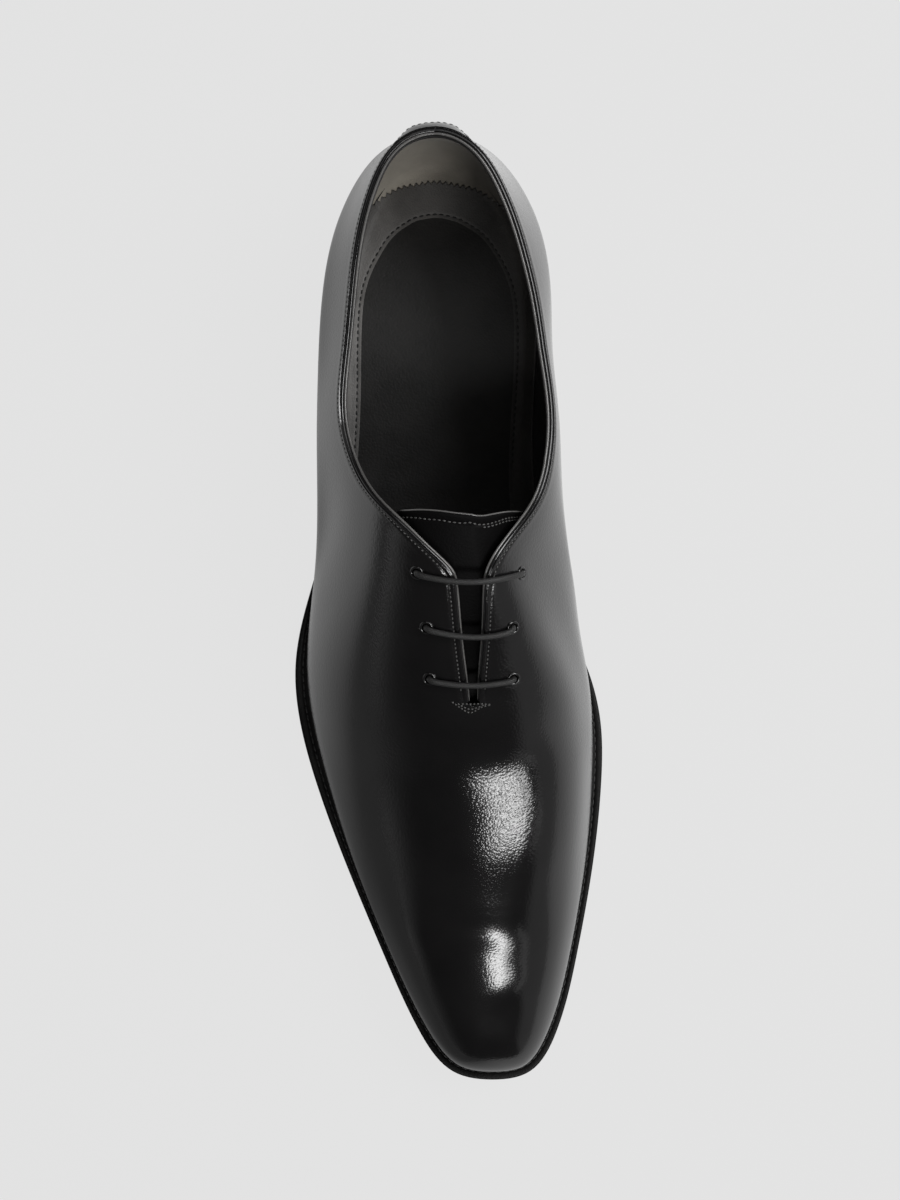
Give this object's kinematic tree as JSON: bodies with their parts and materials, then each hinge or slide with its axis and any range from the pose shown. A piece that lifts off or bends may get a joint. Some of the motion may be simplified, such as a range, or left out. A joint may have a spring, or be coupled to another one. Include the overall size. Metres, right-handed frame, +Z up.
{
  "type": "oxford shoe",
  "caption": "Right-foot oxford dress shoe with a one-piece upper, closed lacing, rolled collar edge, welted leather sole and stacked heel.",
  "frame": {"origin": "on the floor under the middle of the shoe's bounding box", "axes": "+Y to the heel, -Y to the toe, +X to the medial side, +Z up"},
  "size_m": [0.1052, 0.3108, 0.0972],
  "materials": {
    "upper_calf": "polished black calf with a fine grain",
    "lace_cord": "thin round waxed cotton",
    "lining_leather": "soft black lining leather",
    "sole_leather": "black dyed and waxed sole leather",
    "heel_stack": "black dyed stacked leather",
    "heel_rubber": "matt black rubber"
  },
  "bodies": {
    "root": {"upper": "upper_calf", "tongue": "upper_calf", "heel_tab": "upper_calf", "collar_binding": "upper_calf", "lace": "lace_cord", "insole": "lining_leather", "welt": "sole_leather", "outsole": "sole_leather", "heel_base": "heel_stack", "heel_top_piece": "heel_rubber"}
  },
  "joints": []
}
